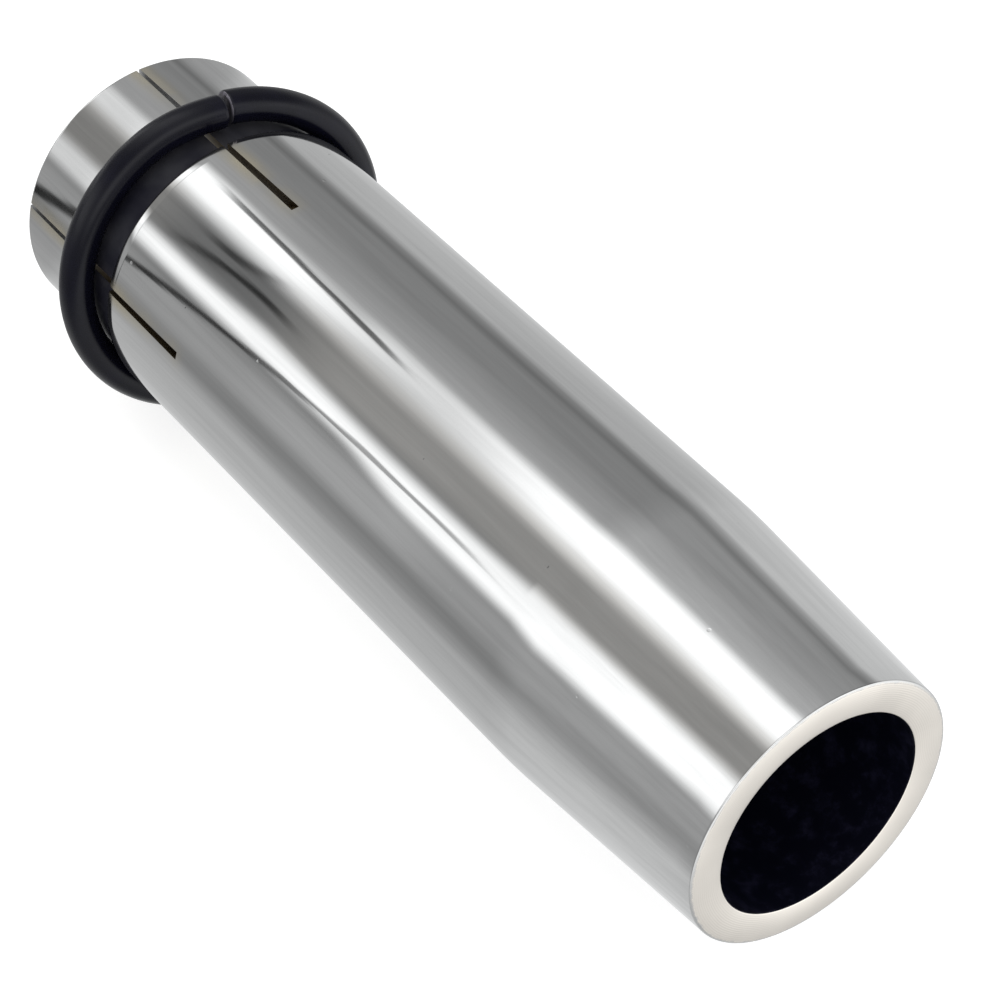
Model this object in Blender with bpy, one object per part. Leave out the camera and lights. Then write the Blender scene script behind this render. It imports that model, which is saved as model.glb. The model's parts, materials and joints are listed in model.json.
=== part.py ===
"""Push-on gas nozzle for a welding torch: a plated, slotted tube and the split wire ring that clamps its tail.

The nozzle lies along +X with its tip forward. The origin is on the table, under the middle of its length.
"""

import math

import bmesh
import bpy
from mathutils import Matrix, Vector

MM = 0.001

# Nozzle, measured along its axis from the tail face
LENGTH = 84.0 * MM
BARREL_RADIUS = 12.13 * MM
TAIL_RADIUS = 11.65 * MM
TAPER_START = 64.4 * MM
TAPER_BLEND = 1.5 * MM
TIP_RADIUS = 10.88 * MM
TIP_BORE_RADIUS = 8.15 * MM
BARREL_BORE_RADIUS = 9.5 * MM
SOCKET_RADIUS = 10.0 * MM
SOCKET_DEPTH = 30.0 * MM
SOCKET_CHAMFER = 0.3 * MM
TAIL_ROUND = 0.3 * MM
RIM_ROUND = 0.2 * MM

# Ring groove round the tail
GROOVE_REAR = 8.2 * MM
GROOVE_FRONT = 13.0 * MM
GROOVE_FLOOR_RADIUS = 11.2 * MM
LIP_ROUND = 0.2 * MM

# Saw slots that turn the tail into spring fingers
SLOT_COUNT = 5
SLOT_WIDTH = 0.8 * MM
SLOT_LENGTH = 22.9 * MM
FIRST_SLOT_ANGLE = math.radians(93.0)
SAW_RADIUS = 30.0 * MM
SAW_CENTRE_RADIUS = BARREL_RADIUS + 24.0 * MM
SAW_MARGIN = 1.0 * MM

# Clamp ring of round spring wire, resting a little askew in its groove
WIRE_RADIUS = 1.4 * MM
RING_RADIUS = 12.9 * MM
RING_PLACE = 10.4 * MM
RING_SKEW = math.radians(3.45)
SPLIT_ANGLE = math.radians(84.2)
SPLIT_GAP = 0.35 * MM
END_STEP = 0.4 * MM
END_STEP_SPAN = math.radians(28.0)

# Facets
TURNS = 72
ARC_STEPS = 3
SAW_STEPS = 6
WIRE_BEVEL_RESOLUTION = 3

# Smooth shading stops at edges sharper than this
SHARP_EDGE = math.radians(35.0)

# The skewed ring touches the table at its lowest point
AXIS_HEIGHT = RING_RADIUS * math.cos(RING_SKEW) + WIRE_RADIUS
TAIL_X = -LENGTH / 2

NICKEL = ("plated_nickel", (0.62, 0.61, 0.59, 1.0), 1.0, 0.16)
BLACK_WIRE = ("blackened_wire", (0.02, 0.02, 0.027, 1.0), 0.0, 0.5)


def clear_scene():
    for item in list(bpy.data.objects):
        bpy.data.objects.remove(item, do_unlink=True)


def make_material(name, colour, metallic, roughness):
    material = bpy.data.materials.new(name)
    material.use_nodes = True
    shader = material.node_tree.nodes["Principled BSDF"]
    shader.inputs["Base Color"].default_value = colour
    shader.inputs["Metallic"].default_value = metallic
    shader.inputs["Roughness"].default_value = roughness
    material.diffuse_color = colour
    return material


def add_object(name, data):
    item = bpy.data.objects.new(name, data)
    bpy.context.collection.objects.link(item)
    return item


def corner_arc(centre_x, centre_radius, size, start, end):
    """Points of a rounded profile corner, from one angle in degrees to another."""
    points = []
    for step in range(ARC_STEPS + 1):
        angle = math.radians(start + (end - start) * step / ARC_STEPS)
        points.append((centre_x + size * math.cos(angle), centre_radius + size * math.sin(angle)))
    return points


def taper_crease():
    """Points of the soft crease where the barrel runs into the taper."""
    slope = (TIP_RADIUS - BARREL_RADIUS) / (LENGTH - TAPER_START)
    points = []
    for step in range(ARC_STEPS + 1):
        along = step / ARC_STEPS
        drop = slope * TAPER_BLEND * along * along
        points.append((TAPER_START + TAPER_BLEND * (2 * along - 1), BARREL_RADIUS + drop))
    return points


def outer_profile():
    """Outside of the tube from the tail face to the front rim, as (distance from tail, radius)."""
    points = corner_arc(TAIL_ROUND, TAIL_RADIUS - TAIL_ROUND, TAIL_ROUND, 180, 90)
    points.append((GROOVE_REAR, TAIL_RADIUS))
    points.append((GROOVE_REAR, GROOVE_FLOOR_RADIUS))
    points.append((GROOVE_FRONT, GROOVE_FLOOR_RADIUS))
    points += corner_arc(GROOVE_FRONT + LIP_ROUND, BARREL_RADIUS - LIP_ROUND, LIP_ROUND, 180, 90)
    points += taper_crease()
    points += corner_arc(LENGTH - RIM_ROUND, TIP_RADIUS - RIM_ROUND, RIM_ROUND, 90, 0)
    return points


def inner_profile():
    """Bore from the front rim back to the tail face."""
    points = corner_arc(LENGTH - RIM_ROUND, TIP_BORE_RADIUS + RIM_ROUND, RIM_ROUND, 0, -90)
    points.append((TAPER_START, BARREL_BORE_RADIUS))
    points.append((SOCKET_DEPTH, BARREL_BORE_RADIUS))
    points.append((SOCKET_DEPTH, SOCKET_RADIUS))
    points.append((SOCKET_CHAMFER, SOCKET_RADIUS))
    points.append((0.0, SOCKET_RADIUS + SOCKET_CHAMFER))
    return points


def turned_tube():
    """The tube turned round its own axis, tail face at x = 0."""
    mesh = bpy.data.meshes.new("nozzle_body")
    shape = bmesh.new()
    corners = [shape.verts.new((along, 0.0, radius)) for along, radius in outer_profile() + inner_profile()]
    edges = []
    for start, end in zip(corners, corners[1:] + corners[:1]):
        edges.append(shape.edges.new((start, end)))
    bmesh.ops.spin(
        shape,
        geom=corners + edges,
        cent=(0.0, 0.0, 0.0),
        axis=(1.0, 0.0, 0.0),
        angle=math.tau,
        steps=TURNS,
        use_merge=True,
    )
    bmesh.ops.rotate(shape, verts=shape.verts, matrix=half_facet())
    bmesh.ops.recalc_face_normals(shape, faces=shape.faces)
    shape.to_mesh(mesh)
    shape.free()
    return mesh


def half_facet():
    """Half a facet's turn, so that a flat of the barrel faces the table."""
    return Matrix.Rotation(math.pi / TURNS, 3, "X")


def saw_outline():
    """Kerf of the slitting saw in a plane through the axis: open at the tail, an arc of the disc at its end."""
    reach = math.sqrt(SAW_RADIUS**2 - (SAW_CENTRE_RADIUS - BARREL_RADIUS) ** 2)
    centre = SLOT_LENGTH - reach
    inside = SOCKET_RADIUS - SAW_MARGIN
    outside = BARREL_RADIUS + SAW_MARGIN
    points = [(-SAW_MARGIN, outside), (-SAW_MARGIN, inside)]
    for step in range(SAW_STEPS + 1):
        radius = inside + (outside - inside) * step / SAW_STEPS
        points.append((centre + math.sqrt(SAW_RADIUS**2 - (SAW_CENTRE_RADIUS - radius) ** 2), radius))
    return points


def slot_saw():
    """All the kerfs, as one hidden cutter."""
    mesh = bpy.data.meshes.new("slot_saw")
    shape = bmesh.new()
    for index in range(SLOT_COUNT):
        angle = FIRST_SLOT_ANGLE + math.tau * index / SLOT_COUNT
        corners = [shape.verts.new((along, -SLOT_WIDTH / 2, radius)) for along, radius in saw_outline()]
        side = shape.faces.new(corners)
        kerf = bmesh.ops.extrude_face_region(shape, geom=[side])["geom"]
        far_side = [part for part in kerf if isinstance(part, bmesh.types.BMVert)]
        bmesh.ops.translate(shape, verts=far_side, vec=(0.0, SLOT_WIDTH, 0.0))
        turn = Matrix.Rotation(angle - math.pi / 2, 3, "X")
        bmesh.ops.rotate(shape, verts=corners + far_side, matrix=turn)
    bmesh.ops.recalc_face_normals(shape, faces=shape.faces)
    shape.to_mesh(mesh)
    shape.free()
    saw = add_object("slot_saw", mesh)
    saw.location = (TAIL_X, 0.0, AXIS_HEIGHT)
    saw.hide_render = True
    saw.display_type = "WIRE"
    return saw


def nozzle_body():
    body = add_object("nozzle_body", turned_tube())
    body.location = (TAIL_X, 0.0, AXIS_HEIGHT)
    body.data.materials.append(make_material(*NICKEL))
    body.data.shade_smooth()
    body.data.set_sharp_from_angle(angle=SHARP_EDGE)
    slots = body.modifiers.new("slots", "BOOLEAN")
    slots.operation = "DIFFERENCE"
    slots.object = slot_saw()
    return body


def smooth_rise(value):
    value = min(max(value, 0.0), 1.0)
    return value * value * (3 - 2 * value)


def ring_points():
    """Centre line of the wire: once round from the split, the first end stepping forward of the last."""
    half_gap = SPLIT_GAP / RING_RADIUS / 2
    sweep = math.tau - 2 * half_gap
    points = []
    for step in range(TURNS + 1):
        turned = sweep * step / TURNS
        angle = SPLIT_ANGLE + half_gap + turned
        forward = END_STEP * smooth_rise(1 - turned / END_STEP_SPAN)
        points.append(Vector((forward, RING_RADIUS * math.cos(angle), RING_RADIUS * math.sin(angle))))
    return points


def clamp_ring():
    wire = bpy.data.curves.new("clamp_ring", "CURVE")
    wire.dimensions = "3D"
    wire.bevel_depth = WIRE_RADIUS
    wire.bevel_resolution = WIRE_BEVEL_RESOLUTION
    wire.use_fill_caps = True
    route = ring_points()
    spline = wire.splines.new("POLY")
    spline.points.add(len(route) - 1)
    for point, place in zip(spline.points, route):
        point.co = (*place, 1.0)
    spline.use_smooth = True
    ring = add_object("clamp_ring", wire)
    ring.location = (TAIL_X + RING_PLACE, 0.0, AXIS_HEIGHT)
    ring.rotation_euler = (0.0, -RING_SKEW, -RING_SKEW)
    ring.data.materials.append(make_material(*BLACK_WIRE))
    return ring


def main():
    clear_scene()
    nozzle_body()
    clamp_ring()


main()
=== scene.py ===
import json
import math

import bmesh
import bpy
from bpy.props import FloatProperty, FloatVectorProperty, IntProperty, PointerProperty
from mathutils import Matrix, Vector


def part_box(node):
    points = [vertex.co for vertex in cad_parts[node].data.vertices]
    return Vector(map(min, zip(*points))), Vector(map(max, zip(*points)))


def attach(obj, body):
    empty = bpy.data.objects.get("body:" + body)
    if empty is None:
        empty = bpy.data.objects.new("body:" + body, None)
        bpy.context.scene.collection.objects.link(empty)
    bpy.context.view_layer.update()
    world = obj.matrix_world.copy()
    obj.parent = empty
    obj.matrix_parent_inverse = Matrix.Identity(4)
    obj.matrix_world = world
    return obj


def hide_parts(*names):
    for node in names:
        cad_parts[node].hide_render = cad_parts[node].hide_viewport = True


bl_info = {
    "name": "Gas Nozzle Finish",
    "version": (1, 0, 0),
    "blender": (4, 5, 0),
    "location": "View3D > Sidebar > Gas Nozzle",
    "description": "Dresses a push-on welding gas nozzle: plated tube, black clamp ring and a studio to see them in",
    "category": "Object",
}

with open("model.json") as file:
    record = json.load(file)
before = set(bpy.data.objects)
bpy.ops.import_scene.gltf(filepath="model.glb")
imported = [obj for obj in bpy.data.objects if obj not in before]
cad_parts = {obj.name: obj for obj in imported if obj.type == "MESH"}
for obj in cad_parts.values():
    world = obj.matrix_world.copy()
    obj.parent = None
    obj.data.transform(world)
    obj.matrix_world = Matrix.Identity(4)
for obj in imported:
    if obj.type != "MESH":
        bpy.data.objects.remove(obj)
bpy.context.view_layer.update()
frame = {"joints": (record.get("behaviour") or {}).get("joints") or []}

MM = 0.001
MICRON = 0.000001

# Where the solids lie: tail face, axis height and the ring's place come from the frame
BODY_LOW, BODY_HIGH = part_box("nozzle_body")
TAIL = BODY_LOW.x
RING_CENTRE = Vector(frame["joints"][0]["pos_m"])
AXIS_HEIGHT = RING_CENTRE.z

# Material indices of the tube's surfaces
PLATED, RIM, BORE = range(3)

# How far a face leans to count as the front rim, the bore or the step inside the bore
RIM_FORWARD = 0.6
RIM_INWARD = -0.5
BORE_INWARD = -0.2
STEP_BACKWARD = -0.9

# Facets, and the angles at which smooth shading stops
LENGTHWISE_CUTS = 11
SAW_SEGMENTS = 180
SAW_MARGIN = 1.0 * MM
TUBE_SHARP_EDGE = math.radians(30.0)
WIRE_SHARP_EDGE = math.radians(50.0)
LARGE_FACES_LEAD = 100

# Millimetres between the rings that the lathe left on the rim, and across the camera's sensor
LATHE_FEED = 0.16
SENSOR_WIDTH = 36.0


class TubeSettings(bpy.types.PropertyGroup):
    """Sizes and finishes of the plated tube."""

    length: FloatProperty(
        name="Length",
        description="From the tail face to the front rim",
        default=BODY_HIGH.x - BODY_LOW.x,
        unit="LENGTH",
    )
    barrel_radius: FloatProperty(
        name="Barrel radius", description="Outside of the plain barrel", default=12.13 * MM, unit="LENGTH"
    )
    tail_radius: FloatProperty(
        name="Tail radius", description="Outside of the tail behind the groove", default=11.65 * MM, unit="LENGTH"
    )
    tip_radius: FloatProperty(
        name="Tip radius", description="Outside of the front rim", default=10.88 * MM, unit="LENGTH"
    )
    taper_start: FloatProperty(
        name="Taper start", description="Distance from the tail to the taper", default=64.4 * MM, unit="LENGTH"
    )
    taper_blend: FloatProperty(
        name="Taper blend", description="Half length of the soft crease there", default=1.5 * MM, unit="LENGTH"
    )
    tip_bore: FloatProperty(
        name="Tip bore", description="Radius of the outlet", default=8.27 * MM, unit="LENGTH"
    )
    barrel_bore: FloatProperty(
        name="Barrel bore", description="Radius inside the barrel", default=9.5 * MM, unit="LENGTH"
    )
    socket_bore: FloatProperty(
        name="Socket bore", description="Radius inside the slotted tail", default=10.0 * MM, unit="LENGTH"
    )
    socket_depth: FloatProperty(
        name="Socket depth", description="Depth of the tail's bore", default=30.0 * MM, unit="LENGTH"
    )
    groove_rear: FloatProperty(
        name="Groove rear", description="Rear wall of the ring groove", default=8.2 * MM, unit="LENGTH"
    )
    groove_front: FloatProperty(
        name="Groove front", description="Front wall of the ring groove", default=13.0 * MM, unit="LENGTH"
    )
    groove_radius: FloatProperty(
        name="Groove radius", description="Floor of the ring groove", default=11.4 * MM, unit="LENGTH"
    )
    lip_drop: FloatProperty(
        name="Lip drop", description="How far the barrel's rear edge is rolled in", default=0.08 * MM, unit="LENGTH"
    )
    lip_length: FloatProperty(
        name="Lip length", description="Length of the rolled edge", default=1.0 * MM, unit="LENGTH"
    )
    rim_round: FloatProperty(
        name="Rim round", description="Round of the front rim's edges", default=0.12 * MM, unit="LENGTH"
    )
    rim_crown: FloatProperty(
        name="Rim crown", description="Height of the front rim's crown", default=0.28 * MM, unit="LENGTH"
    )
    edge_round: FloatProperty(
        name="Edge round", description="Round of the turned edges", default=0.2 * MM, unit="LENGTH"
    )
    tail_round: FloatProperty(
        name="Tail round", description="Round of the tail's outer edge", default=0.3 * MM, unit="LENGTH"
    )
    slot_count: IntProperty(name="Slots", description="Saw slots round the tail", default=5)
    slot_width: FloatProperty(
        name="Slot width", description="Thickness of the slitting saw", default=0.66 * MM, unit="LENGTH"
    )
    tail_gap: FloatProperty(
        name="Tail gap",
        description="Slot width at the tail, where the ring squeezes the fingers together",
        default=0.3 * MM,
        unit="LENGTH",
    )
    slot_length: FloatProperty(
        name="Slot length", description="From the tail to the slot's end", default=22.9 * MM, unit="LENGTH"
    )
    slot_angle: FloatProperty(
        name="First slot", description="Roll angle of the first slot", default=math.radians(92.4), subtype="ANGLE"
    )
    saw_radius: FloatProperty(
        name="Saw radius", description="Radius of the slitting saw", default=30.0 * MM, unit="LENGTH"
    )
    saw_lift: FloatProperty(
        name="Saw lift", description="The saw's centre above the barrel", default=24.0 * MM, unit="LENGTH"
    )
    facets: IntProperty(name="Facets", description="Facets round the tube", default=288)
    plate: FloatVectorProperty(
        name="Plate", description="Bright nickel plate", default=(0.55, 0.55, 0.548), subtype="COLOR"
    )
    worn_plate: FloatVectorProperty(
        name="Worn plate", description="Plate stained beside the slots", default=(0.66, 0.59, 0.43), subtype="COLOR"
    )
    rim: FloatVectorProperty(
        name="Rim", description="Turned front rim", default=(0.80, 0.755, 0.695), subtype="COLOR"
    )
    bore: FloatVectorProperty(
        name="Bore", description="Darkened bore", default=(0.0014, 0.0016, 0.0072), subtype="COLOR"
    )
    bloom: FloatVectorProperty(
        name="Bloom", description="Paler mottling in the bore", default=(0.014, 0.0135, 0.032), subtype="COLOR"
    )
    # Painted shade: a near-black colour for the groove floor that stands in for the shade and the ring's dark
    # reflection there
    groove_shade_colour: FloatVectorProperty(
        name="Groove shade",
        description="What the ring has rubbed off in its groove",
        default=(0.011, 0.011, 0.019),
        subtype="COLOR",
    )
    copper: FloatVectorProperty(
        name="Copper", description="Bare metal inside the slots", default=(0.19, 0.14, 0.068), subtype="COLOR"
    )


class RingSettings(bpy.types.PropertyGroup):
    """Sizes and finish of the clamp ring."""

    wire_radius: FloatProperty(
        name="Wire radius", description="Half the wire's thickness", default=1.36 * MM, unit="LENGTH"
    )
    ring_radius: FloatProperty(
        name="Ring radius", description="From the axis to the wire's middle", default=12.88 * MM, unit="LENGTH"
    )
    skew: FloatProperty(
        name="Skew", description="How far the ring leans both ways", default=math.radians(3.45), subtype="ANGLE"
    )
    split_angle: FloatProperty(
        name="Split", description="Roll angle of the split", default=math.radians(84.2), subtype="ANGLE"
    )
    split_gap: FloatProperty(
        name="Split gap", description="Gap between the wire's ends", default=0.35 * MM, unit="LENGTH"
    )
    end_step: FloatProperty(
        name="End step", description="How far one end stands forward", default=0.4 * MM, unit="LENGTH"
    )
    end_span: FloatProperty(
        name="End span", description="Stretch that bends forward", default=math.radians(28.0), subtype="ANGLE"
    )
    bow: FloatProperty(
        name="Bow", description="How far the ring's two sides stand forward", default=0.3 * MM, unit="LENGTH"
    )
    bow_angle: FloatProperty(
        name="Bow axis",
        description="Roll angle that the ring is bowed about",
        default=math.radians(122.0),
        subtype="ANGLE",
    )
    end_round: FloatProperty(
        name="End round", description="Round of the cut ends", default=0.3 * MM, unit="LENGTH"
    )
    sides: IntProperty(name="Sides", description="Facets round the wire", default=32)
    steps: IntProperty(name="Steps", description="Facets along the wire", default=240)
    wire: FloatVectorProperty(
        name="Wire", description="Blackened wire", default=(0.003, 0.003, 0.0075), subtype="COLOR"
    )
    cut_end: FloatVectorProperty(
        name="Cut end", description="Bare metal at the cut ends", default=(0.20, 0.19, 0.22), subtype="COLOR"
    )


class StageSettings(bpy.types.PropertyGroup):
    """Camera, floor and studio light."""

    azimuth: FloatProperty(
        name="Azimuth", description="Camera's turn from the -Y side", default=math.radians(53.99), subtype="ANGLE"
    )
    elevation: FloatProperty(
        name="Elevation", description="Camera's height as an angle", default=math.radians(43.27), subtype="ANGLE"
    )
    distance: FloatProperty(
        name="Distance", description="From the camera to its aim", default=225.29 * MM, unit="LENGTH"
    )
    aim: FloatVectorProperty(
        name="Aim",
        description="Point in the middle of the image",
        default=(5.23 * MM, 0.72 * MM, AXIS_HEIGHT + 0.05 * MM),
        subtype="TRANSLATION",
        unit="LENGTH",
    )
    lens: FloatProperty(name="Lens", description="Focal length in millimetres", default=111.3)
    floor_size: FloatProperty(name="Floor", description="Width of the floor", default=3.0, unit="LENGTH")
    floor_colour: FloatVectorProperty(
        name="Floor colour", description="Pale paper under the part", default=(0.6, 0.6, 0.6), subtype="COLOR"
    )
    floor_glow: FloatProperty(
        name="Floor glow", description="What the camera adds to the paper to see it white", default=0.7
    )
    wall_light: FloatProperty(name="Wall light", description="Light of the studio's walls", default=0.38)
    floor_light: FloatProperty(name="Floor light", description="Light from below the horizon", default=0.70)
    strip_light: FloatProperty(name="Strip light", description="Light of the strip softboxes", default=1.5)
    window_light: FloatProperty(name="Window light", description="Light of the window in front", default=1.2)


class Value:
    """A number in a node tree. Arithmetic on it adds Math nodes."""

    def __init__(self, nodes, socket):
        self.nodes = nodes
        self.socket = socket

    def math(self, operation, *others):
        inputs = dict(enumerate((self, *others)))
        return self.nodes.value("ShaderNodeMath", {"operation": operation}, inputs)

    def __add__(self, other):
        return self.math("ADD", other)

    __radd__ = __add__

    def __mul__(self, other):
        return self.math("MULTIPLY", other)

    __rmul__ = __mul__

    def __sub__(self, other):
        return self.math("SUBTRACT", other)

    def __rsub__(self, other):
        return self * -1 + other

    def __truediv__(self, other):
        return self.math("DIVIDE", other)

    def __pow__(self, other):
        return self.math("POWER", other)

    def __mod__(self, other):
        return self.math("FLOORED_MODULO", other)

    def __abs__(self):
        return self.math("ABSOLUTE")

    def least(self, other):
        return self.math("MINIMUM", other)

    def most(self, other):
        return self.math("MAXIMUM", other)

    def rise(self, low, high):
        """0 below low, 1 above high, and a smooth rise between them."""
        settings = {"interpolation_type": "SMOOTHSTEP"}
        return self.nodes.value("ShaderNodeMapRange", settings, {0: self, 1: low, 2: high, 3: 0.0, 4: 1.0})

    def between(self, low, high, soft):
        """1 from low to high, with edges that are soft on both sides."""
        return self.rise(low - soft, low + soft) * (1 - self.rise(high - soft, high + soft))


class Nodes:
    """A node tree under construction."""

    def __init__(self, tree):
        self.tree = tree
        tree.nodes.clear()

    def add(self, kind, settings=None, sockets=None):
        """Any node: its settings are set first, then the values or links of its sockets."""
        node = self.tree.nodes.new(kind)
        for name, setting in (settings or {}).items():
            setattr(node, name, setting)
        for name, source in (sockets or {}).items():
            socket = node.inputs[name]
            if isinstance(source, Value):
                source = source.socket
            if isinstance(source, bpy.types.NodeSocket):
                self.tree.links.new(source, socket)
            else:
                socket.default_value = source
        return node

    def value(self, kind, settings=None, sockets=None, output=0):
        return Value(self, self.add(kind, settings, sockets).outputs[output])

    def split(self, vector):
        """The three numbers of a vector."""
        parts = self.add("ShaderNodeSeparateXYZ", {}, {0: vector})
        return [Value(self, output) for output in parts.outputs]

    def rays(self, *kinds):
        """1 for rays of the kinds named and 0 for the rest."""
        path = self.add("ShaderNodeLightPath")
        share = Value(self, path.outputs[kinds[0]])
        for kind in kinds[1:]:
            share = share.most(Value(self, path.outputs[kind]))
        return share

    def object_place(self):
        return self.add("ShaderNodeTexCoord").outputs["Object"]

    def stretched(self, place, scale):
        """The place with each of its axes scaled."""
        return self.add("ShaderNodeMapping", {}, {"Vector": place, "Scale": scale}).outputs[0]

    def noise(self, place, scale, detail=2.0, roughness=0.5):
        sockets = {"Vector": place, "Scale": scale, "Detail": detail, "Roughness": roughness}
        return self.value("ShaderNodeTexNoise", {}, sockets)

    def mix(self, share, first, second):
        """A colour between two."""
        settings = {"data_type": "RGBA"}
        return self.add("ShaderNodeMix", settings, {0: share, 6: first, 7: second}).outputs[2]

    def bump(self, height, distance, normal=None):
        sockets = {"Height": height, "Strength": 1.0, "Distance": distance}
        if normal:
            sockets["Normal"] = normal
        return self.add("ShaderNodeBump", {}, sockets).outputs[0]

    def surface(self, sockets):
        """The finished Principled shader."""
        shader = self.add("ShaderNodeBsdfPrincipled", {}, sockets)
        self.add("ShaderNodeOutputMaterial", {}, {"Surface": shader.outputs[0]})


def shade(colour, factor=1.0):
    """An opaque colour, darker or paler than the one given by a factor."""
    return (*[channel * factor for channel in colour], 1.0)


def new_material(name):
    material = bpy.data.materials.new(name)
    material.use_nodes = True
    return material, Nodes(material.node_tree)


def along_tube(nodes, place):
    """Distance from the tail face, in millimetres."""
    return (nodes.split(place)[0] - TAIL) / MM


def round_axis(nodes, place):
    """Roll angle in degrees, and distance from the axis in millimetres."""
    y, z = nodes.split(place)[1:]
    height = z - AXIS_HEIGHT
    roll = height.math("ARCTAN2", y) * math.degrees(1)
    reach = (y * y + height * height) ** 0.5 / MM
    return roll, reach


def plated_nickel(tube):
    """Bright plate: long faint streaks, a slight waviness, fine dings, stains beside the saw slots, and painted shade
    on the groove floor.
    """
    material, nodes = new_material("plated_nickel")
    place = nodes.object_place()
    along = along_tube(nodes, place)
    roll, reach = round_axis(nodes, place)
    lengthwise = nodes.stretched(place, (0.04, 1.0, 1.0))
    streaks = nodes.noise(lengthwise, 1400.0, 3.0, 0.6)
    cloud = nodes.noise(place, 160.0, 3.0, 0.6)

    pitch = 360.0 / tube.slot_count
    from_slot = abs((roll - math.degrees(tube.slot_angle) + pitch / 2) % pitch - pitch / 2)
    beside = from_slot * math.radians(tube.barrel_radius / MM)
    slot_end = tube.slot_length / MM
    stain = (1 - beside.rise(0.3, 1.5)) * (1 - along.rise(slot_end - 0.5, slot_end + 1.2))
    stain = stain * cloud.rise(0.25, 0.7)
    bright = nodes.mix(streaks.rise(0.3, 0.75), shade(tube.plate), shade(tube.plate, 0.88))
    colour = nodes.mix(stain * 0.75, bright, shade(tube.worn_plate))
    floor = tube.groove_radius / MM
    in_groove = along.between(tube.groove_rear / MM, tube.groove_front / MM, soft=0.02)
    in_groove = in_groove * (1 - reach.rise(floor + 0.05, floor + 0.2))
    # Painted shade: the groove floor is coloured near-black and made dull to stand in for its shade and the ring's
    # dark reflection in it
    painted_groove_shade = in_groove * (0.93 + cloud.rise(0.3, 0.7) * 0.07)
    colour = nodes.mix(painted_groove_shade, colour, shade(tube.groove_shade_colour))

    waviness = nodes.noise(nodes.stretched(place, (0.16, 1.0, 1.0)), 260.0, 1.0)
    dents = nodes.value("ShaderNodeTexVoronoi", {}, {"Vector": place, "Scale": 260.0, "Randomness": 1.0})
    dings = (1 - dents.rise(0.015, 0.05)) * cloud.rise(0.4, 0.55)
    normal = nodes.bump(waviness, 6 * MICRON)
    normal = nodes.bump(streaks, 0.6 * MICRON, normal)
    normal = nodes.bump(dings, -8 * MICRON, normal)
    nodes.surface(
        {
            "Base Color": colour,
            "Metallic": 1 - painted_groove_shade,
            "Specular IOR Level": 0.15,
            "Roughness": 0.025 + streaks * 0.03 + cloud * 0.015 + stain * 0.2 + painted_groove_shade * 0.45,
            "Normal": normal,
        }
    )
    return material


def turned_rim(tube):
    """Satin front rim with the lathe's rings, running raggedly into the plate on its round edge."""
    material, nodes = new_material("turned_rim")
    place = nodes.object_place()
    reach = round_axis(nodes, place)[1]
    cloud = nodes.noise(place, 420.0, 4.0, 0.65)
    ragged = nodes.noise(place, 1500.0, 3.0, 0.6)
    rings = (reach * (math.tau / LATHE_FEED) + cloud * 5.0).math("SINE")
    patches = nodes.noise(place, 150.0, 2.0)
    edge = tube.tip_radius / MM
    plated = (reach + ragged * 0.35).rise(edge - 0.1, edge + 0.1)
    satin = nodes.mix(patches.rise(0.35, 0.65), shade(tube.rim), shade(tube.rim, 1.08))
    nodes.surface(
        {
            "Base Color": nodes.mix(plated, satin, shade(tube.plate, 1.15)),
            "Metallic": 1.0,
            "Roughness": (0.24 + cloud * 0.12) * (1 - plated * 0.5),
            "Normal": nodes.bump(rings * 0.5 + cloud, 5 * MICRON),
        }
    )
    return material


def dark_bore(tube):
    """Blue-black bore, a little mottled."""
    material, nodes = new_material("dark_bore")
    place = nodes.object_place()
    mottle = nodes.noise(place, 650.0, 5.0, 0.7)
    normal = nodes.bump(mottle, 12 * MICRON)
    colour = nodes.mix(mottle.rise(0.46, 0.74), shade(tube.bore), shade(tube.bloom))
    nodes.surface({"Base Color": colour, "Roughness": 0.5 + mottle * 0.2, "Specular IOR Level": 0.1, "Normal": normal})
    return material


def cut_copper(tube):
    """Bare, darkened metal of the saw cuts, with the saw's marks, and painted light that turns the walls to pale plate
    towards the tail.
    """
    material, nodes = new_material("cut_copper")
    place = nodes.object_place()
    marks = nodes.noise(nodes.stretched(place, (1.0, 0.15, 0.15)), 2600.0, 2.0)
    dull = nodes.noise(place, 500.0, 2.0)
    along = along_tube(nodes, place)
    colour = nodes.mix(dull.rise(0.35, 0.7), shade(tube.copper), shade(tube.copper, 0.5))
    # Painted light: towards the tail the walls are coloured pale plate, standing in for light coming in through the
    # tail's open end
    colour = nodes.mix(along.rise(6.0, 12.0), shade(tube.plate, 0.85), colour)
    nodes.surface(
        {"Base Color": colour, "Metallic": 1.0, "Roughness": 0.3 + dull * 0.2, "Normal": nodes.bump(marks, 4 * MICRON)}
    )
    return material


def blackened_wire(ring):
    """Matt blue-black wire with fine drawing lines and rubbed patches."""
    material, nodes = new_material("blackened_wire")
    place = nodes.object_place()
    grain = nodes.noise(place, 2400.0, 3.0, 0.6)
    rubbed = nodes.noise(place, 330.0, 3.0, 0.55)
    colour = nodes.mix(rubbed.rise(0.45, 0.75), shade(ring.wire), shade(ring.wire, 1.5))
    nodes.surface(
        {
            "Base Color": colour,
            "Roughness": 0.26 + grain * 0.1 - rubbed * 0.08,
            "Specular IOR Level": 0.2,
            "Normal": nodes.bump(grain, 3 * MICRON),
        }
    )
    return material


def cut_wire(ring):
    """Bare steel of the snipped ends."""
    material, nodes = new_material("cut_wire")
    place = nodes.object_place()
    tear = nodes.noise(nodes.stretched(place, (1.0, 1.0, 0.3)), 3000.0, 2.0)
    colour = nodes.mix(tear.rise(0.4, 0.7), shade(ring.cut_end), shade(ring.cut_end, 0.5))
    nodes.surface(
        {"Base Color": colour, "Metallic": 1.0, "Roughness": 0.4 + tear * 0.2, "Normal": nodes.bump(tear, 6 * MICRON)}
    )
    return material


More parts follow.
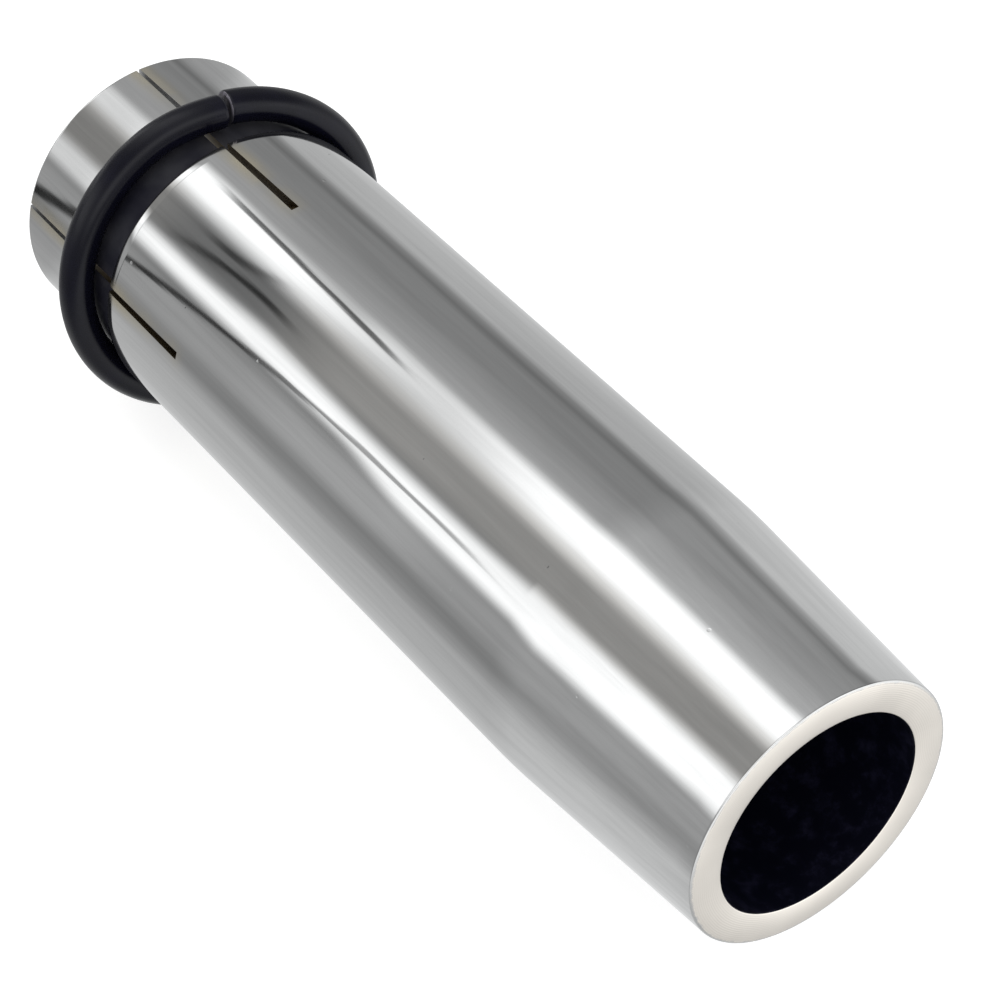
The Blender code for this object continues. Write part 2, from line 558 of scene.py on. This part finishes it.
def add_piece(name, shape, materials):
    """A finished mesh object, with its place in its mesh."""
    mesh = bpy.data.meshes.new(name)
    shape.to_mesh(mesh)
    shape.free()
    for material in materials:
        mesh.materials.append(material)
    piece = bpy.data.objects.new(name, mesh)
    bpy.context.scene.collection.objects.link(piece)
    return piece


def only(kind, geom):
    """The vertices, edges or faces among an operator's results."""
    return [part for part in geom if isinstance(part, kind)]


def round_corner(shape, corner, size, segments):
    bmesh.ops.bevel(
        shape,
        geom=[corner],
        offset=size,
        offset_type="OFFSET",
        segments=segments,
        profile=0.5,
        affect="VERTICES",
        material=-1,
    )


def tube_section(tube):
    """Half section of the tube above the axis, its turned edges rounded."""
    shape = bmesh.new()

    def corner(along, radius):
        return shape.verts.new((TAIL + along, 0.0, AXIS_HEIGHT + radius))

    tail_edge = corner(0.0, tube.tail_radius)
    groove_rear = [corner(tube.groove_rear, tube.tail_radius), corner(tube.groove_rear, tube.groove_radius)]
    groove_front = [
        corner(tube.groove_front, tube.groove_radius),
        corner(tube.groove_front, tube.barrel_radius - tube.lip_drop),
        corner(tube.groove_front + tube.lip_length / 2, tube.barrel_radius),
    ]
    crease = corner(tube.taper_start, tube.barrel_radius)
    rim_edge = corner(tube.length - tube.rim_crown / 2, tube.tip_radius)
    crown = corner(tube.length + tube.rim_crown * 0.4, (tube.tip_radius + tube.tip_bore) / 2)
    outlet_edge = corner(tube.length - tube.rim_crown / 2, tube.tip_bore)
    throat = corner(tube.taper_start, tube.barrel_bore)
    step = [corner(tube.socket_depth, tube.barrel_bore), corner(tube.socket_depth, tube.socket_bore)]
    mouth = corner(0.0, tube.socket_bore)
    outline = [tail_edge, *groove_rear, *groove_front, crease, rim_edge, crown, outlet_edge, throat, *step, mouth]
    shape.faces.new(outline)
    round_corner(shape, tail_edge, tube.tail_round, 4)
    round_corner(shape, mouth, tube.tail_round, 2)
    round_corner(shape, groove_rear[0], tube.edge_round / 2, 3)
    round_corner(shape, groove_front[1], tube.edge_round / 2, 3)
    round_corner(shape, groove_front[2], tube.lip_length / 2 - tube.edge_round / 2, 8)
    round_corner(shape, crease, tube.taper_blend, 8)
    round_corner(shape, crown, (tube.tip_radius - tube.tip_bore) / 2 - tube.rim_round * 1.1, 8)
    round_corner(shape, rim_edge, tube.rim_round, 4)
    round_corner(shape, outlet_edge, tube.rim_round, 4)
    long_edges = [edge for edge in shape.edges if edge.calc_length() > tube.barrel_radius]
    bmesh.ops.subdivide_edges(shape, edges=long_edges, cuts=LENGTHWISE_CUTS)
    return shape


def name_surfaces(shape, tube):
    """Gives the front rim and the bore their own materials."""
    rim_back = TAIL + tube.length - tube.rim_crown - tube.rim_round
    for face in shape.faces:
        middle = face.calc_center_median()
        outward = Vector((0.0, middle.y, middle.z - AXIS_HEIGHT)).normalized()
        lean = face.normal.dot(outward)
        on_step = face.normal.x < STEP_BACKWARD and middle.x > TAIL + tube.groove_front
        if middle.x > rim_back and face.normal.x > RIM_FORWARD and lean > RIM_INWARD:
            face.material_index = RIM
        elif lean < BORE_INWARD or on_step:
            face.material_index = BORE
        else:
            face.material_index = PLATED


def saw_blades(tube, material):
    """One thin disc for each slot, as deep as the saw went and thinner where the fingers close up at the tail."""
    shape = bmesh.new()
    slot_end = TAIL + tube.slot_length
    reach = math.sqrt(tube.saw_radius**2 - tube.saw_lift**2)
    bmesh.ops.create_cone(
        shape,
        cap_ends=True,
        segments=SAW_SEGMENTS,
        radius1=tube.saw_radius,
        radius2=tube.saw_radius,
        depth=tube.slot_width,
        matrix=Matrix.Rotation(math.pi / 2, 4, "X"),
    )
    lift = AXIS_HEIGHT + tube.barrel_radius + tube.saw_lift
    bmesh.ops.translate(shape, verts=shape.verts, vec=(slot_end - reach, 0.0, lift))
    cut = bmesh.ops.bisect_plane(
        shape,
        geom=shape.verts[:] + shape.edges[:] + shape.faces[:],
        plane_co=(TAIL - SAW_MARGIN, 0.0, 0.0),
        plane_no=(-1.0, 0.0, 0.0),
        clear_outer=True,
    )["geom_cut"]
    bmesh.ops.edgeloop_fill(shape, edges=only(bmesh.types.BMEdge, cut))
    closing = (1 - tube.tail_gap / tube.slot_width) / tube.slot_length
    for vert in shape.verts:
        vert.co.y *= 1 - closing * (slot_end - vert.co.x)
    bmesh.ops.recalc_face_normals(shape, faces=shape.faces)
    blade = shape.verts[:] + shape.edges[:] + shape.faces[:]
    axis = (0.0, 0.0, AXIS_HEIGHT)
    first = Matrix.Rotation(tube.slot_angle - math.pi / 2, 3, "X")
    bmesh.ops.rotate(shape, verts=shape.verts, cent=axis, matrix=first)
    for index in range(1, tube.slot_count):
        turn = Matrix.Rotation(math.tau * index / tube.slot_count, 3, "X")
        copy = bmesh.ops.duplicate(shape, geom=blade)["geom"]
        bmesh.ops.rotate(shape, verts=only(bmesh.types.BMVert, copy), cent=axis, matrix=turn)
    return add_piece("saw_blades", shape, [material])


def cut_slots(piece, blades):
    """Cuts the slots and leaves no cutter behind."""
    cut = piece.modifiers.new("slots", "BOOLEAN")
    cut.operation = "DIFFERENCE"
    cut.object = blades
    cut.solver = "EXACT"
    cut.material_mode = "TRANSFER"
    sawn = piece.evaluated_get(bpy.context.evaluated_depsgraph_get())
    mesh = bpy.data.meshes.new_from_object(sawn)
    plain = piece.data
    piece.modifiers.clear()
    piece.data = mesh
    mesh.name = plain.name
    bpy.data.meshes.remove(plain)
    bpy.data.objects.remove(blades, do_unlink=True)


def smooth_round_faces(piece, angle):
    piece.data.shade_smooth()
    piece.data.set_sharp_from_angle(angle=angle)
    level = piece.modifiers.new("even_shading", "WEIGHTED_NORMAL")
    level.keep_sharp = True
    level.weight = LARGE_FACES_LEAD


class OBJECT_OT_plated_tube(bpy.types.Operator):
    """Turns the plated tube, saws its slots and gives each surface its finish"""

    bl_idname = "object.plated_tube"
    bl_label = "Plated Tube"

    def execute(self, context):
        tube = context.scene.plated_tube
        shape = tube_section(tube)
        bmesh.ops.delete(shape, geom=shape.faces[:], context="FACES_ONLY")
        bmesh.ops.spin(
            shape,
            geom=shape.verts[:] + shape.edges[:],
            cent=(0.0, 0.0, AXIS_HEIGHT),
            axis=(1.0, 0.0, 0.0),
            angle=math.tau,
            steps=tube.facets,
            use_merge=True,
        )
        bmesh.ops.recalc_face_normals(shape, faces=shape.faces)
        name_surfaces(shape, tube)
        finishes = [plated_nickel(tube), turned_rim(tube), dark_bore(tube)]
        piece = add_piece("plated_tube", shape, finishes)
        cut_slots(piece, saw_blades(tube, cut_copper(tube)))
        smooth_round_faces(piece, TUBE_SHARP_EDGE)
        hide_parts("nozzle_body")
        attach(piece, "nozzle")
        return {"FINISHED"}


def wire_tube(ring):
    """The wire spun once round from its split, before the ring leans."""
    shape = bmesh.new()
    half_gap = ring.split_gap / ring.ring_radius / 2
    start = ring.split_angle + half_gap
    first = bmesh.ops.create_circle(
        shape,
        segments=ring.sides,
        radius=ring.wire_radius,
        matrix=Matrix.Translation((0.0, ring.ring_radius, 0.0)),
    )["verts"]
    first_edges = shape.edges[:]
    bmesh.ops.rotate(shape, verts=first, matrix=Matrix.Rotation(start, 3, "X"))
    last = bmesh.ops.spin(
        shape,
        geom=first + first_edges,
        cent=(0.0, 0.0, 0.0),
        axis=(1.0, 0.0, 0.0),
        angle=math.tau - 2 * half_gap,
        steps=ring.steps,
    )["geom_last"]
    last_edges = only(bmesh.types.BMEdge, last)
    caps = bmesh.ops.edgeloop_fill(shape, edges=first_edges + last_edges)["faces"]
    bmesh.ops.recalc_face_normals(shape, faces=shape.faces)
    for cap in caps:
        cap.material_index = 1
    bmesh.ops.bevel(
        shape,
        geom=first_edges + last_edges,
        offset=ring.end_round,
        offset_type="OFFSET",
        segments=3,
        profile=0.5,
        affect="EDGES",
        material=-1,
    )
    return shape


def bend_wire(shape, ring):
    """Bows the ring a little out of flat, and bends the first end of the wire forward of the last."""
    for vert in shape.verts:
        angle = math.atan2(vert.co.z, vert.co.y)
        turned = (angle - ring.split_angle) % math.tau
        rise = min(max(1 - turned / ring.end_span, 0.0), 1.0)
        vert.co.x += ring.end_step * rise * rise * (3 - 2 * rise)
        vert.co.x += ring.bow * math.sin(angle - ring.bow_angle) ** 2


class OBJECT_OT_wire_ring(bpy.types.Operator):
    """Bends the split clamp ring out of round wire and sets it askew in its groove"""

    bl_idname = "object.wire_ring"
    bl_label = "Wire Ring"

    def execute(self, context):
        ring = context.scene.wire_ring
        shape = wire_tube(ring)
        bend_wire(shape, ring)
        lean = Matrix.Rotation(-ring.skew, 3, "Z") @ Matrix.Rotation(-ring.skew, 3, "Y")
        bmesh.ops.rotate(shape, verts=shape.verts, matrix=lean)
        bmesh.ops.translate(shape, verts=shape.verts, vec=RING_CENTRE)
        piece = add_piece("wire_ring", shape, [blackened_wire(ring), cut_wire(ring)])
        smooth_round_faces(piece, WIRE_SHARP_EDGE)
        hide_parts("clamp_ring")
        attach(piece, "ring")
        return {"FINISHED"}


def paper_floor(stage):
    """Pale paper that the camera sees as white, with the part's shadow on it."""
    material, nodes = new_material("paper_floor")
    grain = nodes.noise(nodes.object_place(), 40.0, 2.0)
    seen = nodes.rays("Is Camera Ray", "Is Transmission Ray", "Is Glossy Ray")
    pale = nodes.mix(grain, shade(stage.floor_colour), shade(stage.floor_colour, 0.99))
    paper = nodes.add("ShaderNodeBsdfDiffuse", {}, {"Color": pale})
    glow = nodes.mix(seen, (0.0, 0.0, 0.0, 1.0), shade([stage.floor_glow] * 3))
    glow = nodes.add("ShaderNodeEmission", {}, {"Color": glow})
    both = nodes.add("ShaderNodeAddShader", {}, {0: paper.outputs[0], 1: glow.outputs[0]})
    nodes.add("ShaderNodeOutputMaterial", {}, {"Surface": both.outputs[0]})
    return material


class Tent:
    """Directions round the part in degrees, as values in the world's node tree.

    Turn is measured from straight behind the tail, roll round the tube's axis from straight overhead, and height
    from the horizon. The tail mirrors turns up to 45, the barrel those up to 56 and the taper those from 63.
    """

    def __init__(self, nodes):
        direction = nodes.add("ShaderNodeTexCoord").outputs["Generated"]
        x, y, z = nodes.split(direction)
        self.roll = (y * -1).math("ARCTAN2", z) * math.degrees(1)
        self.turn = (x * -1).math("ARCCOSINE") * math.degrees(1)
        self.height = z.math("ARCSINE") * math.degrees(1)
        self.wobble = nodes.noise(direction, 30.0, 2.0) - 0.5
        self.collar = 1 - self.turn.rise(44.8, 45.4)
        self.behind = self.turn.between(45.8, 48.8, soft=0.8)
        self.taper = self.turn.rise(56.0, 63.0)
        self.crease_line = (self.turn - 46.6) * 1.6 - 2.2


def tent_cloth(tent, stage):
    """Pale cloth, darker where a side meets the floor, and paler over the barrel's middle and the taper."""
    roll, turn, height = tent.roll, tent.turn, tent.height
    overhead = roll.between(-25.0, 12.0, soft=18.0)
    far_corner = roll.between(-65.0, -60.0, soft=4.0)
    near_side = roll.between(80.0, 106.0, soft=8.0)
    upper_side = roll.between(20.0, 50.0, soft=6.0)
    middle = turn.between(49.4, 53.5, soft=1.0)
    cloth = stage.wall_light + overhead * 0.22 - far_corner * 0.13
    cloth = cloth + near_side * (middle * 0.1 - tent.taper * 0.08 + 0.16)
    cloth = cloth + upper_side * (turn.rise(49.0, 50.5) - tent.taper - tent.behind) * 0.12

    in_front = height.rise(-58.0, -20.0) * 0.7 - (1 - height.rise(-75.0, -50.0)) * 0.3
    floor = stage.floor_light * (1 - tent.collar * 0.26) + turn.rise(95.0, 125.0) * in_front
    low = (1 - roll.rise(-76.0, -67.0)).most(roll.rise(113.0, 140.0))
    over_taper = tent.taper * (1 - turn.rise(75.0, 95.0))
    return (cloth + low * (floor - cloth)) * (over_taper * 0.26 + 1)


def strip_lights(tent):
    """Two long strip lights, one overhead and one at the near side, wider over the tip and weak in front."""
    roll, turn = tent.roll, tent.turn
    edge = tent.collar * 4.0 - 11.0
    overhead = roll.rise(edge, edge + 12.0) * (1 - roll.rise(9.0, 30.0))
    overhead = overhead * (1 - turn.between(49.3, 53.6, soft=1.8) * 0.5)
    beyond_crease = 1 - (roll - tent.crease_line).rise(-1.0, 1.0)
    overhead = overhead * (1 - turn.between(46.8, 50.0, soft=0.6) * beyond_crease * 0.65)
    tight = turn.between(50.0, 55.5, soft=2.0).most(1 - turn.rise(47.0, 49.0) - tent.collar)
    edge = 64.0 + turn.rise(50.8, 52.8) * 8.0 + tent.taper * 2.0 + tent.collar * 3.0
    side = roll.rise(46.0 + tight * 5.0, 60.0 + tight * 3.0) * (1 - roll.rise(edge, edge + 12.0))
    over_tail = turn.between(42.4, 44.8, soft=0.4)
    in_front = turn.rise(88.0, 112.0)
    return overhead.most(side) * (1 - over_tail * 0.5) * (1 - in_front * 0.55)


def cloth_folds(tent):
    """Dark folds of the cloth: a long seam, a crease and two short wrinkles."""
    roll, turn = tent.roll, tent.turn

    def fold(line, start, end, width):
        across = 1 - abs(roll + tent.wobble * 4.0 - line).rise(width * 0.4, width)
        return across * turn.between(start, end, soft=0.4)

    seam_width = ((52.0 - turn) * 0.22 + 1.9).most(1.7) + tent.collar * 3.5
    seam = fold((turn - 52.7) ** 2.0 * 0.47 + 65.0, 41.0, 56.0, seam_width)
    seam = seam * (0.95 - turn.rise(47.0, 52.0) * 0.3 - turn.rise(53.4, 55.4) * 0.65)
    crease = fold(tent.crease_line, 46.4, 50.8, 2.6)
    wrinkles = fold((turn - 48.2) ** 2.0 * 2.9 + 37.0, 46.2, 48.8, 3.4)
    wrinkles = wrinkles.most(fold(31.0 - (turn - 46.7) ** 2.0 * 4.7, 46.8, 48.2, 3.4))
    return seam.most(crease * 0.85).most(wrinkles * 0.85)


def studio_light(stage, world):
    """White to the camera, and to everything else a cloth tent with two strip lights and a window in front."""
    world.use_nodes = True
    nodes = Nodes(world.node_tree)
    tent = Tent(nodes)
    window = tent.turn.between(132.0, 160.0, soft=10.0) * tent.height.between(5.0, 45.0, soft=12.0)
    light = tent_cloth(tent, stage) + strip_lights(tent) * stage.strip_light + window * stage.window_light
    light = light * (1 - cloth_folds(tent))
    seen = nodes.rays("Is Camera Ray", "Is Transmission Ray")
    warm = tent.roll.between(18.0, 52.0, soft=6.0) * (1 - tent.behind)
    tint = nodes.mix(warm, (0.985, 0.995, 1.0, 1.0), (1.0, 0.99, 0.965, 1.0))
    tint = nodes.mix(seen, tint, (1.0, 1.0, 1.0, 1.0))
    sky = nodes.add("ShaderNodeBackground", {}, {"Color": tint, "Strength": seen + light * (1 - seen)})
    nodes.add("ShaderNodeOutputWorld", {}, {"Surface": sky.outputs[0]})


def photo_camera(stage):
    lens = bpy.data.cameras.new("camera")
    lens.lens = stage.lens
    lens.sensor_width = SENSOR_WIDTH
    lens.clip_start = MM
    camera = bpy.data.objects.new("camera", lens)
    bpy.context.scene.collection.objects.link(camera)
    level = math.cos(stage.elevation)
    back = Vector(
        (math.sin(stage.azimuth) * level, -math.cos(stage.azimuth) * level, math.sin(stage.elevation))
    )
    camera.location = Vector(stage.aim) + back * stage.distance
    camera.rotation_euler = (-back).to_track_quat("-Z", "Y").to_euler()
    return camera


class SCENE_OT_photo_stage(bpy.types.Operator):
    """Lays the paper floor, lights the studio and sets the camera"""

    bl_idname = "scene.photo_stage"
    bl_label = "Photo Stage"

    def execute(self, context):
        stage = context.scene.photo_stage
        shape = bmesh.new()
        bmesh.ops.create_grid(shape, x_segments=1, y_segments=1, size=stage.floor_size / 2)
        floor = add_piece("paper_floor", shape, [paper_floor(stage)])
        floor.visible_glossy = False
        world = bpy.data.worlds.new("studio")
        studio_light(stage, world)
        context.scene.world = world
        context.scene.camera = photo_camera(stage)
        context.scene.view_settings.view_transform = "Standard"
        return {"FINISHED"}


class VIEW3D_PT_gas_nozzle(bpy.types.Panel):
    """Sizes, finishes and steps of the gas nozzle"""

    bl_label = "Gas Nozzle"
    bl_space_type = "VIEW_3D"
    bl_region_type = "UI"
    bl_category = "Gas Nozzle"

    def draw(self, context):
        for name, group, operator in STEPS:
            box = self.layout.box()
            settings = getattr(context.scene, name)
            for field in group.__annotations__:
                box.prop(settings, field)
            box.operator(operator.bl_idname)


STEPS = (
    ("photo_stage", StageSettings, SCENE_OT_photo_stage),
    ("plated_tube", TubeSettings, OBJECT_OT_plated_tube),
    ("wire_ring", RingSettings, OBJECT_OT_wire_ring),
)


def register():
    for name, group, operator in STEPS:
        bpy.utils.register_class(group)
        bpy.utils.register_class(operator)
        setattr(bpy.types.Scene, name, PointerProperty(type=group))
    bpy.utils.register_class(VIEW3D_PT_gas_nozzle)


def unregister():
    bpy.utils.unregister_class(VIEW3D_PT_gas_nozzle)
    for name, group, operator in reversed(STEPS):
        delattr(bpy.types.Scene, name)
        bpy.utils.unregister_class(operator)
        bpy.utils.unregister_class(group)


def main():
    register()
    bpy.ops.scene.photo_stage()
    bpy.ops.object.plated_tube()
    bpy.ops.object.wire_ring()


if __name__ == "__main__":
    main()
